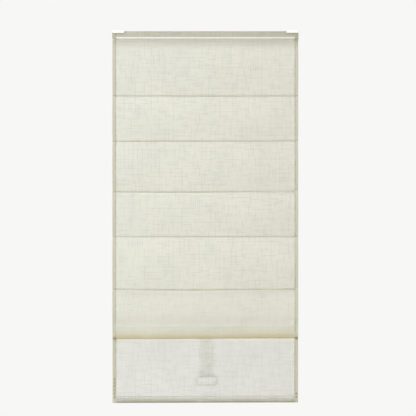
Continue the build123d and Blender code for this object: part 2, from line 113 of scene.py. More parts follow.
class ClothSettings(bpy.types.PropertyGroup):
    """Cut, folds and colours of the cloth."""

    thickness: FloatProperty(
        name="Thickness", description="Thickness of one layer", default=0.0005, unit="LENGTH"
    )
    bow: FloatProperty(
        name="Bow", description="How far a panel stands forward of its creases", default=0.006, unit="LENGTH"
    )
    crest: FloatProperty(
        name="Crest", description="Radius at the top of a panel", default=0.0012, unit="LENGTH"
    )
    roll_depth: FloatProperty(
        name="Roll depth", description="How far a panel's end turns back", default=0.0028, unit="LENGTH"
    )
    roll_height: FloatProperty(
        name="Roll height", description="Height over which a panel turns back", default=0.014, unit="LENGTH"
    )
    fold_roll: FloatProperty(
        name="Fold roll", description="Height over which the fold turns back", default=0.03, unit="LENGTH"
    )
    fold_sag: FloatProperty(
        name="Fold sag", description="How far the fold hangs under its bar", default=0.002, unit="LENGTH"
    )
    neck: FloatProperty(
        name="Neck", description="Depth of a crease behind the panels", default=0.0028, unit="LENGTH"
    )
    ripple: FloatProperty(
        name="Ripple", description="Height of the slack ripples in a panel", default=0.0012, unit="LENGTH"
    )
    side_hem: FloatProperty(
        name="Side hem", description="Width of the turned side hems", default=0.016, unit="LENGTH"
    )
    hem_height: FloatProperty(
        name="Bottom hem", description="Height of the skirt's hem", default=0.028, unit="LENGTH"
    )
    weave_pitch: FloatProperty(
        name="Weave", description="Distance between the weave's fine threads", default=0.0018, unit="LENGTH"
    )
    columns: IntProperty(name="Columns", description="Faces across the cloth", default=96)
    sheer: FloatProperty(
        name="Cover", description="Share of light that one surface stops", default=0.54, subtype="FACTOR"
    )
    slub_depth: FloatProperty(
        name="Slub depth", description="Share of colour that a slub keeps", default=0.6, subtype="FACTOR"
    )
    tint: FloatVectorProperty(
        name="Cloth", description="Colour of the open weave", default=(0.668, 0.67, 0.588), subtype="COLOR"
    )
    skirt_tint: FloatVectorProperty(
        name="Skirt", description="Colour of the skirt", default=(0.66, 0.665, 0.625), subtype="COLOR"
    )
    crest_tint: FloatVectorProperty(
        name="Lit crest",
        description="Colour where the cloth bulges to the light",
        default=(0.86, 0.865, 0.765),
        subtype="COLOR",
    )
    # Colour of the pull strap; also the pale tint of the painted light under the rail and of the skirt hem's
    # inside
    strap_and_pale_tint: FloatVectorProperty(
        name="Strap", description="Colour of the pull strap", default=(0.88, 0.88, 0.67), subtype="COLOR"
    )
    # Colour of the doubled cloth at the side hems, and also the tint of the painted shade along the face
    hem_tint: FloatVectorProperty(
        name="Hem", description="Colour of double layers", default=(0.47, 0.465, 0.37), subtype="COLOR"
    )
    # Tint of the warm painted shade at the bottom fold, also used along the hems' inner edges and at the
    # strap's loop
    fold_shade_tint: FloatVectorProperty(
        name="Fold", description="Colour at the bottom fold", default=(0.485, 0.43, 0.28), subtype="COLOR"
    )
    # Painted light: the pale glint under the fold
    glint: FloatVectorProperty(
        name="Glint", description="Pale line under the fold", default=(0.80, 0.745, 0.565), subtype="COLOR"
    )
    # Dark over the hem's weight, partly painted shade, and painted shade at the hem's bottom edge
    weight_and_shade_tint: FloatVectorProperty(
        name="Band", description="Colour over the weight", default=(0.25, 0.243, 0.172), subtype="COLOR"
    )
    fascia_tint: FloatVectorProperty(
        name="Fascia", description="Cloth on the rail", default=(0.50, 0.495, 0.415), subtype="COLOR"
    )


class SewingSettings(bpy.types.PropertyGroup):
    """Size and colours of the stitches."""

    pitch: FloatProperty(
        name="Pitch", description="Distance from stitch to stitch", default=0.0036, unit="LENGTH"
    )
    length: FloatProperty(
        name="Length", description="Length of one stitch", default=0.0028, unit="LENGTH"
    )
    radius: FloatProperty(
        name="Thread", description="Radius of the thread", default=0.00022, unit="LENGTH"
    )
    thread: FloatVectorProperty(
        name="Thread colour", description="Hem stitches", default=(0.60, 0.59, 0.48), subtype="COLOR"
    )
    tack: FloatVectorProperty(
        name="Tack colour", description="Tacks, whip stitches", default=(0.22, 0.185, 0.08), subtype="COLOR"
    )


class RailSettings(bpy.types.PropertyGroup):
    """Colours of the rail, the ribs, the bars, the lift gear and the pull."""

    white_paint: FloatVectorProperty(
        name="Rail", description="Paint of the headrail", default=(0.69, 0.695, 0.645), subtype="COLOR"
    )
    cap_plastic: FloatVectorProperty(
        name="End caps", description="Plastic of the end caps", default=(0.37, 0.37, 0.29), subtype="COLOR"
    )
    bracket_paint: FloatVectorProperty(
        name="Brackets", description="Paint of the brackets", default=(0.86, 0.86, 0.83), subtype="COLOR"
    )
    white_plastic: FloatVectorProperty(
        name="Fittings", description="Plastic of the fittings", default=(0.80, 0.80, 0.77), subtype="COLOR"
    )
    zinc_steel: FloatVectorProperty(
        name="Steel", description="Zinc on the steel pieces", default=(0.55, 0.56, 0.58), subtype="COLOR"
    )
    mill_aluminium: FloatVectorProperty(
        name="Bars", description="Bare aluminium of the bars", default=(0.74, 0.74, 0.75), subtype="COLOR"
    )
    fibre_rod: FloatVectorProperty(
        name="Rods", description="Fibre of the rods", default=(0.78, 0.78, 0.70), subtype="COLOR"
    )
    clear_plastic: FloatVectorProperty(
        name="Pull", description="Clear plastic of the loop", default=(0.93, 0.94, 0.92), subtype="COLOR"
    )
    clear_edge: FloatVectorProperty(
        name="Pull's edges", description="Shade at its edges", default=(0.3, 0.31, 0.24), subtype="COLOR"
    )


class StageSettings(bpy.types.PropertyGroup):
    """Studio and camera."""

    distance: FloatProperty(
        name="Distance", description="From the camera to the cloth", default=4.5, unit="LENGTH"
    )
    view_width: FloatProperty(
        name="View width", description="Width seen at the cloth", default=1.821, unit="LENGTH"
    )
    side_step: FloatProperty(
        name="Side step", description="Camera to the right of the middle", default=0.0116, unit="LENGTH"
    )
    rise: FloatProperty(
        name="Rise", description="Camera above the blind's middle", default=0.0396, unit="LENGTH"
    )
    wall_gap: FloatProperty(
        name="Wall gap", description="From the blind to the backdrop", default=0.3, unit="LENGTH"
    )
    floor_gap: FloatProperty(
        name="Floor gap", description="From the skirt to the floor", default=0.7, unit="LENGTH"
    )
    paper: FloatVectorProperty(
        name="Backdrop", description="Colour of the backdrop", default=(0.93, 0.93, 0.92), subtype="COLOR"
    )
    floor_tint: FloatVectorProperty(
        name="Floor", description="Light that it gives back", default=(0.64, 0.64, 0.63), subtype="COLOR"
    )
    floor_seen: FloatVectorProperty(
        name="Floor to the eye", description="Colour as seen", default=(0.5, 0.5, 0.495), subtype="COLOR"
    )
    key_tint: FloatVectorProperty(
        name="Key colour", description="Tint of the left lamp", default=(0.945, 0.953, 1.0), subtype="COLOR"
    )
    fill_tint: FloatVectorProperty(
        name="Fill colour", description="Tint of the right lamp", default=(1.0, 0.8, 0.25), subtype="COLOR"
    )
    key_power: FloatProperty(
        name="Key", description="Soft light from the left", default=166.0, unit="POWER"
    )
    sky_strength: FloatProperty(name="Sky", description="Even light from high in front", default=1.8)
    fill_power: FloatProperty(
        name="Fill", description="Warm light from the right", default=20.0, unit="POWER"
    )
    glow: FloatProperty(name="Glow", description="Light that the backdrop gives back", default=0.35)
    world_strength: FloatProperty(name="Room", description="Light from all round", default=0.435)


def deselect():
    """Leave edit mode and clear the selection."""
    if bpy.context.object and bpy.context.object.mode != "OBJECT":
        bpy.ops.object.mode_set(mode="OBJECT")
    bpy.ops.object.select_all(action="DESELECT")


def choose(piece):
    """Make one piece the only selected and active one."""
    deselect()
    piece.select_set(True)
    bpy.context.view_layer.objects.active = piece


def finish_with(piece, kind, **settings):
    """Add a modifier to a piece and apply it."""
    choose(piece)
    modifier = piece.modifiers.new(kind.title(), kind)
    for key, value in settings.items():
        setattr(modifier, key, value)
    bpy.ops.object.modifier_apply(modifier=modifier.name)


def dress(piece, material, body):
    """Give a piece of cloth or thread its material and its body."""
    piece.data.materials.clear()
    piece.data.materials.append(material)
    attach(piece, body)


def gather(pieces, name):
    """Join several pieces of one kind into one object."""
    deselect()
    for piece in pieces:
        piece.select_set(True)
    bpy.context.view_layer.objects.active = pieces[0]
    bpy.ops.object.join()
    pieces[0].name = name
    pieces[0].data.name = name
    return pieces[0]


def move_points(piece, change):
    """Pass a piece's points through change, which takes and gives a table of places."""
    spots = np.empty(3 * len(piece.data.vertices))
    piece.data.vertices.foreach_get("co", spots)
    piece.data.vertices.foreach_set("co", change(spots.reshape(-1, 3)).ravel())
    piece.data.update()


# Shader wiring


class Wire:
    """An output socket that takes part in sums."""

    def __init__(self, finish, socket):
        self.finish = finish
        self.socket = socket

    def sum(self, operation, *terms):
        """Add a Math node."""
        return self.finish.node("ShaderNodeMath", {"operation": operation}, dict(enumerate(terms)))

    def __add__(self, other):
        return self.sum("ADD", self, other)

    def __radd__(self, other):
        return self.sum("ADD", other, self)

    def __sub__(self, other):
        return self.sum("SUBTRACT", self, other)

    def __rsub__(self, other):
        return self.sum("SUBTRACT", other, self)

    def __mul__(self, other):
        return self.sum("MULTIPLY", self, other)

    def __rmul__(self, other):
        return self.sum("MULTIPLY", other, self)

    def __abs__(self):
        return self.sum("ABSOLUTE", self)

    def floor(self):
        return self.sum("FLOOR", self)

    def sine(self):
        return self.sum("SINE", self)

    def between(self, low, high):
        """Rise softly from 0 at low to 1 at high, or fall where low is the larger."""
        return self.finish.node(
            "ShaderNodeMapRange",
            {"interpolation_type": "SMOOTHSTEP"},
            {"Value": self, "From Min": low, "From Max": high},
        )


class Wiring:
    """The nodes of a material or of the world."""

    def __init__(self, holder):
        holder.use_nodes = True
        self.tree = holder.node_tree

    def node(self, kind, settings=None, sockets=None, output=0):
        """Add a node by its type, its settings and the values or links of its sockets."""
        made = self.tree.nodes.new(kind)
        for key, value in (settings or {}).items():
            setattr(made, key, value)
        for key, value in (sockets or {}).items():
            self.plug(made.inputs[key], value)
        return Wire(self, made.outputs[output])

    def plug(self, socket, value):
        """Link a wire to a socket, or set the socket's own value."""
        if isinstance(value, Wire):
            self.tree.links.new(value.socket, socket)
        else:
            socket.default_value = value

    def looked_at(self):
        """1 for rays that come from the eye, straight, mirrored or through clear plastic, else 0."""
        eye = self.node("ShaderNodeLightPath", output="Is Camera Ray")
        gloss = self.node("ShaderNodeLightPath", output="Is Glossy Ray")
        through = self.node("ShaderNodeLightPath", output="Is Transmission Ray")
        return (eye + gloss + through).between(0.0, 1.0)


class Finish(Wiring):
    """One material and the nodes that colour it."""

    def __init__(self, name):
        self.material = bpy.data.materials.new(name)
        super().__init__(self.material)
        self.surface = self.tree.nodes["Principled BSDF"]

    def set(self, **values):
        """Set or link sockets of the surface, by name with underscores."""
        for key, value in values.items():
            if isinstance(value, tuple) and len(value) == 3:
                value = (*value, 1.0)
            self.plug(self.surface.inputs[key.replace("_", " ")], value)

    def place(self):
        """Place on the piece, in metres."""
        return self.node("ShaderNodeTexCoord", output="Object")

    def colours(self, share, first, second):
        """Mix two colours by a share."""
        ends = [(*end, 1.0) if isinstance(end, tuple) else end for end in (first, second)]
        return self.node(
            "ShaderNodeMix", {"data_type": "RGBA"}, {0: share, 6: ends[0], 7: ends[1]}, output=2
        )

    def noise(self, place, waves=1.0, detail=2.0):
        """Soft patches, by their waves a metre: one number, or one for each axis."""
        if isinstance(waves, tuple):
            place = self.node("ShaderNodeVectorMath", {"operation": "MULTIPLY"}, {0: place, 1: waves})
            waves = 1.0
        return self.node(
            "ShaderNodeTexNoise",
            {"noise_dimensions": "3D"},
            {"Vector": place, "Scale": waves, "Detail": detail},
        )

    def relief(self, height, depth):
        """Bump the surface by a height."""
        bumped = self.node("ShaderNodeBump", {}, {"Height": height, "Strength": 1.0, "Distance": depth})
        self.set(Normal=bumped)


def colour(settings, name):
    """A colour property as a plain tuple."""
    return tuple(getattr(settings, name))


def shaded(tint, share):
    """A colour with every part cut down to a share."""
    return tuple(share * part for part in tint)


class Threads(NamedTuple):
    """Threads that lie side by side at a pitch, each with thick stretches about a run long, in metres.

    The larger the change from thread to thread, the less a thread swells where its neighbours do.
    """

    pitch: float
    run: float
    seed: float
    change: float


# Weft and warp of each size
THICK_THREADS = (Threads(0.0089, 0.07, 1.0, 0.83), Threads(0.0097, 0.06, 5.0, 0.77))
THIN_THREADS = (Threads(0.0056, 0.11, 17.0, 7.1), Threads(0.0061, 0.1, 21.0, 7.5))
FINE_THREADS = (Threads(0.0021, 0.03, 9.0, 7.3), Threads(0.0023, 0.028, 13.0, 7.7))

# Patches in the cloth, in its stripes and along its hems' edges, in waves a metre
CLOUD_WAVES = 5.0
STRIPE_WAVES = (7.0, 1.5, 1.0)
EDGE_PATCH_WAVES = (1.0, 60.0, 1.0)
# Patches in hard surfaces, flow lines in the clear plastic and twist of the thread, in waves a metre
BROAD_WAVES = 14.0
FLOW_WAVES = (30.0, 80.0, 160.0)
TWIST_WAVES = (900.0, 900.0, 2500.0)
# Half the width of a side hem's soft edge, and where the dark line inside that edge ends, in metres
HEM_BLUR = 0.0006
HEM_LINE = (0.003, 0.005)
# How far thick threads, fine threads and clouds darken the cloth
SLUB_SHADE = 0.2
FINE_SHADE = 0.2
CLOUD_SHADE = 0.1
# How much more light fine threads and side hems stop
FINE_COVER = 0.02
HEM_COVER = 0.4
# Height of the thick threads and of the grain of hard surfaces, in metres
SLUB_RELIEF = 0.00022
GRAIN_RELIEF = 0.00005
# A fade that starts past the end of any cloth, in metres
ENDLESS = (1.0, 2.0)


class Stripe(NamedTuple):
    """A stripe painted along the flat cloth, most often painted shade or painted light, which comes over its
    rise, goes over its fade and adds its cover.
    """

    rise: tuple
    tint: tuple
    share: float
    fade: tuple = ENDLESS
    cover: float = 0.0

    def moved(self, place):
        """The same stripe, counted from another place on the cloth."""
        rise, fade = (tuple(place + end for end in ends) for ends in (self.rise, self.fade))
        return self._replace(rise=rise, fade=fade)


class SideHems(NamedTuple):
    """Place of the side hems' inner edges and how far their colour takes over at each end. The right end
    takes less: painted light against the key lamp's fall-off from the left.
    """

    inner: float
    left: float
    right: float


def thick_stretches(finish, lengthwise, crosswise, threads):
    """Where threads are thick, 0 to 1. Each thread lies a little off the middle of its row."""
    row = crosswise * (1 / threads.pitch)
    number = row.floor()
    own = finish.node("ShaderNodeTexWhiteNoise", {"noise_dimensions": "1D"}, {"W": number + threads.seed})
    spot = finish.node(
        "ShaderNodeCombineXYZ",
        {},
        {0: lengthwise * (1 / threads.run), 1: number * threads.change, 2: threads.seed},
    )
    ridge = 1.0 - abs(2.0 * (row - number) - 1.25 + 0.5 * own)
    return ridge.between(0.3, 0.8) * finish.noise(spot, detail=1.0).between(0.45, 0.62)


def both_ways(finish, across, along, threads):
    """Thick stretches of the weft and the warp together."""
    weft, warp = threads
    return thick_stretches(finish, across, along, weft) + thick_stretches(finish, along, across, warp)


def slub_cloth(name, cloth, base, cover, hems=None, stripes=()):
    """Sheer cloth with thick threads both ways. Its map holds the flat place in metres."""
    finish = Finish(name)
    place = finish.node("ShaderNodeUVMap", {"uv_map": FLAT_MAP})
    across = finish.node("ShaderNodeSeparateXYZ", {}, {0: place}, output="X")
    along = finish.node("ShaderNodeSeparateXYZ", {}, {0: place}, output="Y")
    slubs = both_ways(finish, across, along, THICK_THREADS)
    thin = both_ways(finish, across, along, THIN_THREADS)
    fine = 0.5 * thin + 0.5 * both_ways(finish, across, along, FINE_THREADS)
    turn = 2 * math.pi / cloth.weave_pitch
    weave = (across * turn).sine() * (along * turn).sine()
    cloud = finish.noise(place, CLOUD_WAVES).between(0.3, 0.7)
    density = slubs * SLUB_SHADE + fine * FINE_SHADE + cloud * CLOUD_SHADE
    face = finish.colours(density, base, shaded(base, cloth.slub_depth))
    alpha = cover + fine * FINE_COVER
    patchy = 0.7 + 0.3 * finish.noise(place, STRIPE_WAVES).between(0.3, 0.6)
    # Each stripe paints its tint over the cloth: mostly painted shade and painted light
    for stripe in stripes:
        last, gone = stripe.fade
        mask = along.between(*stripe.rise) * along.between(gone, last)
        face = finish.colours(mask * patchy * stripe.share, face, stripe.tint)
        alpha = alpha + mask * stripe.cover
    if hems is not None:
        reach = abs(across)
        hem = reach.between(hems.inner - HEM_BLUR, hems.inner + HEM_BLUR)
        # A darker line along each hem's inner edge, darkest in patches
        line = hem * reach.between(hems.inner + HEM_LINE[1], hems.inner + HEM_LINE[0])
        share = hems.left + (hems.right - hems.left) * across.between(-hems.inner, hems.inner)
        edge_patches = finish.noise(place, EDGE_PATCH_WAVES).between(0.42, 0.6)
        face = finish.colours(hem * share + line * 0.2, face, colour(cloth, "hem_tint"))
        face = finish.colours(line * 0.3, face, colour(cloth, "fold_shade_tint"))
        face = finish.colours(line * edge_patches * 0.4, face, colour(cloth, "weight_and_shade_tint"))
        alpha = alpha + hem * HEM_COVER
    finish.set(Base_Color=face, Alpha=alpha, Roughness=0.88 - slubs * 0.1)
    finish.set(Specular_IOR_Level=0.18, Sheen_Weight=0.12, Sheen_Roughness=0.5)
    finish.relief(slubs * 0.6 + fine * 0.3 + weave * 0.1, SLUB_RELIEF)
    return finish.material


class SolidLook(NamedTuple):
    """How a hard surface wears and shines, with its grain in waves a metre.

    Wear is what worn spots lose of red, green and blue.
    """

    wear: tuple
    roughness: float
    grain: float | tuple
    metallic: float = 0.0


def solid_finish(name, base, look):
    """Painted, moulded or metal surface with a fine grain and slightly uneven gloss."""
    finish = Finish(name)
    place = finish.place()
    fine = finish.noise(place, look.grain, detail=3.0)
    broad = finish.noise(place, BROAD_WAVES)
    share = 0.6 * broad.between(0.35, 0.75) + 0.4 * fine.between(0.4, 0.7)
    worn = tuple(part - loss for part, loss in zip(base, look.wear))
    finish.set(Base_Color=finish.colours(share, base, worn))
    finish.set(Roughness=look.roughness + 0.18 * fine - 0.05, Metallic=look.metallic)
    finish.relief(fine, GRAIN_RELIEF)
    return finish.material


def clear_finish(name, tint, shade, cover):
    """Clear moulded plastic: mostly seen through, with gloss, faint flow lines and darker edges."""
    finish = Finish(name)
    flow = finish.noise(finish.place(), FLOW_WAVES)
    rim = finish.node("ShaderNodeLayerWeight", {}, {"Blend": 0.45}, output="Facing")
    body = finish.colours(flow, tint, shaded(tint, 0.94))
    finish.set(Base_Color=finish.colours(rim.between(0.08, 0.3) * 0.65, body, shade))
    finish.set(Alpha=cover + 0.45 * rim, Roughness=0.08 + 0.1 * flow, Specular_IOR_Level=0.6)
    return finish.material


def thread_finish(name, tint):
    """Pale twisted thread."""
    finish = Finish(name)
    twist = finish.noise(finish.place(), TWIST_WAVES)
    finish.set(Base_Color=finish.colours(twist, shaded(tint, 0.85), tint))
    finish.set(Roughness=0.75 + 0.1 * twist, Sheen_Weight=0.2)
    return finish.material


# Cloth forms, as side views in (depth, height)


def arc(centre, radii, start, end, count):
    """Points on part of an ellipse, by angles in degrees."""
    angles = np.radians(np.linspace(start, end, count))
    return [
        (centre[0] + radii[0] * math.cos(angle), centre[1] + radii[1] * math.sin(angle))
        for angle in angles
    ]


def rounded(corners, radius, count=5):
    """A route through corners, each one rounded off."""
    points = [Vector(corner) for corner in corners]
    route = [points[0]]
    for before, corner, after in zip(points, points[1:], points[2:]):
        back = (before - corner).normalized()
        ahead = (after - corner).normalized()
        cut = min(radius, (before - corner).length / 2, (after - corner).length / 2)
        for step in range(count):
            share = step / (count - 1)
            start = corner + back * cut * (1 - share)
            route.append(start.lerp(corner + ahead * cut * share, share))
    route.append(points[-1])
    return [tuple(point) for point in route]


def filled(route, step):
    """Add points on long runs, so that none is longer than step."""
    points = [route[0]]
    for start, end in zip(route, route[1:]):
        pieces = max(1, math.ceil(math.dist(start, end) / step))
        for number in range(1, pieces + 1):
            share = number / pieces
            points.append(tuple(a + (b - a) * share for a, b in zip(start, end)))
    return np.array(points)


def lengths(route):
    """Distance along a route to each of its points."""
    steps = np.hypot(*np.diff(np.asarray(route), axis=0).T)
    return np.concatenate([[0.0], np.cumsum(steps)])


def lay_sheet(name, across, route, thickness, shift=None):
    """Lay a grid along a route, keep its flat place as its map and give it its thickness.

    across holds the places along the rail, and shift(x, row) moves the rows in depth and height.
    """
    route = np.asarray(route)
    rows, columns = len(route), len(across)
    deselect()
    bpy.ops.mesh.primitive_grid_add(x_subdivisions=columns - 1, y_subdivisions=rows - 1, size=1.0)
    sheet = bpy.context.object
    sheet.name = name
    sheet.data.name = name
    if len(sheet.data.vertices) != rows * columns:
        raise RuntimeError(f"{name}: the grid has {len(sheet.data.vertices)} points")
    spots = np.empty((rows, columns, 3))
    spots[:, :, 0] = across[None, :]
    spots[:, :, 1:] = route[:, None, :]
    if shift is not None:
        depth, height = shift(across[None, :], np.arange(rows)[:, None])
        spots[:, :, 1] += depth
        spots[:, :, 2] += height
    sheet.data.vertices.foreach_set("co", spots.ravel())
    flat = np.empty((rows, columns, 2))
    flat[:, :, 0] = across[None, :]
    flat[:, :, 1] = lengths(route)[:, None]
    corners = np.empty(len(sheet.data.loops), dtype=int)
    sheet.data.loops.foreach_get("vertex_index", corners)
    layer = sheet.data.uv_layers[0]
    layer.name = FLAT_MAP
    layer.data.foreach_set("uv", flat.reshape(-1, 2)[corners].ravel())
    sheet.data.update()
    finish_with(sheet, "SOLIDIFY", thickness=thickness, offset=0.0)
    bpy.ops.object.mode_set(mode="EDIT")
    bpy.ops.mesh.select_all(action="SELECT")
    bpy.ops.mesh.normals_make_consistent(inside=False)
    bpy.ops.object.mode_set(mode="OBJECT")
    bpy.ops.object.shade_smooth_by_angle(angle=math.radians(50))
    return sheet


def flatten_with_lift(piece):
    """Give a cloth piece its own copy of its mesh."""
    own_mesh(piece)


class FaceForm:
    """Side view of the face cloth: six bowed panels with creases between them.

    Tilts and sags say how far the top edge, each crease and the fold wander from level. The cloth is
    pinched under the last crease, more so to the right. Sizes are in metres, waves in radians a metre.
    """

    layer_gap = 0.00034
    top_edge_depth = 0.006
    fold_roll_share = 1.4
    crest_points = 5
    bow_points = 16
    roll_points = 10
    tilts = (0.0, 0.0, 0.0013, 0.0046, 0.0008, 0.0036, 0.0022)
    sags = (0.0, 0.0004, 0.0006, 0.0034, 0.001, 0.0042, 0.0)
    broad_wave = 11.0
    close_wave = 23.0
    pinch_depth = 0.0016
    pinch_drop = 0.018
    pinch_spread = 0.004
    pinch_grows = 0.15

    def __init__(self, cloth):
        self.cloth = cloth
        self.front = cloth_low.y + cloth.bow
        self.points = []
        self.panels = []
        self.shares = []
        self.bows = []
        self.bow_rows = []
        edges = [cloth_top, *seam_heights, fold_height]
        for number, (top, bottom) in enumerate(zip(edges, edges[1:])):
            self.add_panel(number, top, bottom)
        self.points = np.array(self.points)
        self.panels = np.array(self.panels)
        self.shares = np.array(self.shares)
        ends = np.flatnonzero(np.diff(self.panels))
        self.tucks = lengths(self.points)[ends]

    def add_panel(self, number, top, bottom):
        """Add one panel's rows: its top edge, crest, bow, roll and the neck of the crease under it."""
        cloth = self.cloth
        last = number == len(seam_heights)
        top = top - self.layer_gap
        bottom = bottom - cloth.fold_sag if last else bottom + self.layer_gap
        roll_height = cloth.fold_roll if last else cloth.roll_height
        roll_depth = self.fold_roll_share * cloth.roll_depth if last else cloth.roll_depth
        start = top - cloth.crest
        end = bottom + roll_height
        run = [(self.front + (self.top_edge_depth if number == 0 else cloth.neck), top)]
        run += arc((self.front + cloth.crest, start), (cloth.crest,) * 2, 90, 180, self.crest_points)
        bow = []
        for share in np.linspace(0, 1, self.bow_points + 2)[1:-1]:
            depth = self.front - cloth.bow * 4 * share * (1 - share)
            bow.append((depth, start + (end - start) * share))
        first = len(self.points) + len(run)
        self.bows.append(np.array(bow))
        self.bow_rows.append(np.arange(first, first + len(bow)))
        run += bow
        run += arc((self.front + roll_depth, end), (roll_depth, roll_height), 180, 270, self.roll_points)
        run.append((self.front + cloth.neck, bottom))
        self.points += run
        self.panels += [number] * len(run)
        self.shares += [min(1.0, max(0.0, (top - height) / (top - bottom))) for depth, height in run]

    def drift(self, x, panel, share):
        """How far a crease wanders from level, by its place along the rail."""
        tilts = np.array(self.tilts)
        sags = np.array(self.sags)
        tilt = tilts[panel] * (1 - share) + tilts[panel + 1] * share
        sag = sags[panel] * (1 - share) + sags[panel + 1] * share
        side = x / half_width
        return tilt * side + sag * (2 * side**2 - 1)

    def shift(self, x, row):
        """Slack ripples, different in each panel, and wandering creases of the whole face."""
        panel = self.panels[row]
        share = self.shares[row]
        slack = 4 * share * (1 - share)
        broad = np.sin(self.broad_wave * x + 2.1 * panel)
        close = np.sin(self.close_wave * x - 1.3 * panel + 4.0 * share)
        depth = self.cloth.ripple * slack * (broad + 0.6 * close) * 0.6
        below = (seam_heights[-1] - self.points[row, 1] - self.pinch_drop) / self.pinch_spread
        pinch = self.pinch_depth * np.exp(-(below**2)) * np.clip(x / self.pinch_grows, 0, 1)
        return depth + pinch * (panel == len(seam_heights)), self.drift(x, panel, share)


def skirt_tilt(x, share):
    """How far the skirt hangs out of level, by its place along the rail and its share of the drop."""
    at_bar, at_hem = SKIRT_TILTS
    return (at_bar * (1 - share) + at_hem * share) * share * x / half_width


def columns_across(cloth, half, fine_edges=True):
    """Places along the rail, with extra ones at the side hems."""
    places = np.linspace(-half, half, cloth.columns + 1)
    if fine_edges:
        inner = half - cloth.side_hem
        places = np.unique(np.concatenate([places, [-inner, inner]]))
    return places


def hem_across(cloth, side):
    """Places along the rail over one side hem."""
    return np.sort(np.linspace(side * (half_width - cloth.side_hem), side * (half_width - HEM_STEP), 4))


class BLIND_OT_face(bpy.types.Operator):
    """Hang the face cloth, with its creases and turned side hems"""

    bl_idname = "blind.face"
    bl_label = "Face cloth"

    # How much of the lit crest shows at each tuck, from the top
    crest_shares = (0.12, 0.18, 0.34, 0.36, 0.5)
    # From the cloth back to its turned hems, in metres, and the share of light that these stop
    hem_behind = 0.0009
    hem_cover = 0.8

    def shades(self, cloth, tucks, length):
        """Painted shade and painted light along the cloth: at the tucks, under the rail, under the last tuck
        and at the fold.
        """
        painted_shade = colour(cloth, "hem_tint")
        crest = colour(cloth, "crest_tint")
        # Painted shade over the roll above each tuck, and a painted highlight on the crest at the tuck
        above_tuck = Stripe((-0.013, -0.001), painted_shade, 0.3, fade=(0.0006, 0.0012))
        on_tuck = Stripe((-0.006, -0.003), crest, 1.0, fade=(0.003, 0.006))
        # Under the rail: painted light on the top edge that takes out the rail's shadow line, then a band of
        # painted shadow from the rail
        at_rail = [
            Stripe((-1.0, 0.0), colour(cloth, "strap_and_pale_tint"), 0.5, fade=(0.015, 0.021)),
            Stripe((0.014, 0.022), painted_shade, 0.45, fade=(0.034, 0.062)),
        ]
        # Painted shade under the last tuck, and the whole last panel painted a little darker
        under_last_tuck = [
            Stripe((0.001, 0.003), painted_shade, 0.28, fade=(0.014, 0.045)),
            Stripe((0.001, 0.003), painted_shade, 0.1),
        ]
        # At the fold: painted shade growing towards it, more cover, a painted highlight where the panel
        # bulges above it, and warm painted shade on the turn
        at_fold = [
            Stripe((-0.13, -0.02), painted_shade, 0.47),
            Stripe((-0.064, -0.038), painted_shade, 0.0, cover=0.46),
            Stripe((-0.08, -0.057), crest, 0.26, fade=(-0.05, -0.034)),
            Stripe((-0.036, -0.006), colour(cloth, "fold_shade_tint"), 0.9),
        ]
        shades = [above_tuck.moved(tuck) for tuck in tucks]
        for tuck, share in zip(tucks, self.crest_shares):
            shades.append(on_tuck.moved(tuck)._replace(share=share))
        shades += at_rail
        shades += [stripe.moved(tucks[-1]) for stripe in under_last_tuck]
        shades += [stripe.moved(length) for stripe in at_fold]
        return shades

    def execute(self, context):
        cloth = context.scene.blind_cloth
        form = FaceForm(cloth)
        length = lengths(form.points)[-1]
        # The right hem is painted paler than the left, as painted light
        hems = SideHems(half_width - cloth.side_hem, left=0.82, right=0.56)
        shades = self.shades(cloth, form.tucks, length)
        fabric = slub_cloth("face_slub", cloth, colour(cloth, "tint"), cloth.sheer, hems, shades)
        face = lay_sheet(
            "face_sheet", columns_across(cloth, half_width), form.points, cloth.thickness, form.shift
        )
        dress(face, fabric, "headrail")
        flatten_with_lift(face)
        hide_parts("face_cloth")
        turned = slub_cloth("turned_slub", cloth, colour(cloth, "hem_tint"), self.hem_cover)
        for end, side in SIDES.items():
            across = hem_across(cloth, side)
            strips = []
            for bow, bow_rows in zip(form.bows, form.bow_rows):

                def follow(x, row, bow_rows=bow_rows):
                    depth, height = form.shift(x, bow_rows[row])
                    return depth + self.hem_behind, height

                strips.append(lay_sheet("strip", across, bow, HEM_LAYERS * cloth.thickness, follow))
            hem = gather(strips, f"side_hem_{end}")
            dress(hem, turned, "headrail")
            flatten_with_lift(hem)
        return {"FINISHED"}


class BLIND_OT_pockets(bpy.types.Operator):
    """Sew a rod pocket behind each crease"""

    bl_idname = "blind.pockets"
    bl_label = "Rod pockets"

    # Room round a rod and from the crease to the pocket, in metres
    rod_room = 0.0012
    neck_gap = 0.0003
    loop_points = 25
    # How far the start of the loop follows the crease, and how much less light a pocket stops
    loop_follows = 0.35
    cover_less = 0.12

    def execute(self, context):
        cloth = context.scene.blind_cloth
        form = FaceForm(cloth)
        fabric = slub_cloth("pocket_slub", cloth, colour(cloth, "tint"), cloth.sheer - self.cover_less)
        across = columns_across(cloth, half_width, fine_edges=False)[::2]
        radius = rod_radius + self.rod_room
        neck = form.front + cloth.neck + self.neck_gap
        slant = math.degrees(math.asin(form.layer_gap / radius))
        for number, height in enumerate(seam_heights, start=1):
            loop = arc((rod_depth, height), (radius, radius), 180 - slant, slant - 180, self.loop_points)
            route = [(neck, height + form.layer_gap), *loop, (neck, height - form.layer_gap)]
            pull = np.zeros(len(route))
            pull[[0, -1]] = 1.0
            pull[[1, -2]] = self.loop_follows

            def follow(x, row, number=number, pull=pull):
                return 0 * x * row, form.drift(x, number, 0.0) * pull[row]

            pocket = lay_sheet(f"rod_pocket_{number}", across, route, cloth.thickness, follow)
            dress(pocket, fabric, f"rib_{number}")
        return {"FINISHED"}


